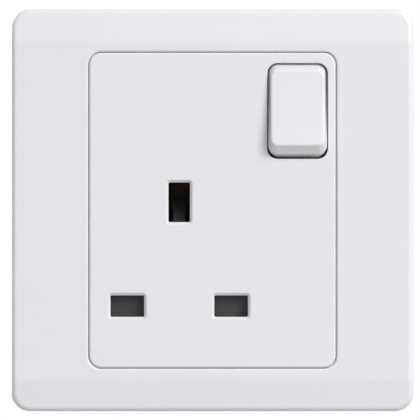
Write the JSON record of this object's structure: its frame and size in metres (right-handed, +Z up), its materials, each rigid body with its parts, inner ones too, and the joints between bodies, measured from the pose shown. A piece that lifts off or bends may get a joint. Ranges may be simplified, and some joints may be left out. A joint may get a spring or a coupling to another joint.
{
  "type": "switched wall socket",
  "caption": "Square white wall socket for plugs with rectangular pins, with a rocker switch, safety shutters, a clip-on cover frame and screw terminals behind.",
  "frame": {"origin": "midway between the two fixing holes, on the wall plane behind the flange", "axes": "+Z up, +X to the right seen from the front, +Y into the wall; the front faces -Y"},
  "size_m": [0.086, 0.0335, 0.086],
  "materials": {
    "white_plastic": "smooth moulded, satin gloss",
    "grey_plastic": "moulded, fine matt",
    "dark_plastic": "moulded, satin",
    "nylon": "natural, satin",
    "terminal_brass": "bright cut",
    "rivet_brass": "pressed, dull",
    "spring_bronze": "rolled strip",
    "silver_tips": "pressed, dull",
    "plated_steel": "bright zinc plated",
    "spring_wire": "drawn wire"
  },
  "bodies": {
    "socket_body": {"cover_frame": "white_plastic", "front_moulding": "white_plastic", "rear_housing": "grey_plastic", "line_strip": "terminal_brass", "line_clip": "spring_bronze", "neutral_clip": "spring_bronze", "earth_clip": "spring_bronze", "earth_strip": "terminal_brass", "line_terminal": "terminal_brass", "neutral_terminal": "terminal_brass", "earth_terminal": "terminal_brass", "terminal_screws": "plated_steel", "contact_rivets": "rivet_brass", "assembly_screws": "plated_steel", "fixed_contact_tip": "silver_tips", "shutter_spring": "spring_wire"},
    "rocker_body": {"rocker": "white_plastic", "plunger_spring": "spring_wire"},
    "plunger_body": {"rocker_plunger": "nylon"},
    "contact_arm": {"seesaw_contact": "spring_bronze", "moving_contact_tip": "silver_tips"},
    "shutter_body": {"shutter": "dark_plastic"}
  },
  "joints": [
    {"name": "rocker_hinge", "type": "hinge", "parent": "socket_body", "child": "rocker_body", "pos_m": [0.0182, -0.0054, 0.0212], "axis": [1, 0, 0], "range_deg": [0, 13]},
    {"name": "contact_arm_hinge", "type": "hinge", "parent": "socket_body", "child": "contact_arm", "pos_m": [0.0182, 0.007, 0.0212], "axis": [1, 0, 0], "range_deg": [-16, 0]},
    {"name": "plunger_slide", "type": "slide", "parent": "rocker_body", "child": "plunger_body", "axis": [0, -0.9936, 0.1132], "range_m": [0, 0.001], "stiffness_N_per_m": 300, "springref_m": -0.004, "deforming": ["plunger_spring"]},
    {"name": "shutter_slide", "type": "slide", "parent": "socket_body", "child": "shutter_body", "axis": [0, 0, -1], "range_m": [0, 0.0056], "stiffness_N_per_m": 200, "springref_m": -0.004, "deforming": ["shutter_spring"]}
  ],
  "couplings": [
    {"joint": "contact_arm_hinge", "follows": "rocker_hinge", "ratio": -1.2307}
  ]
}
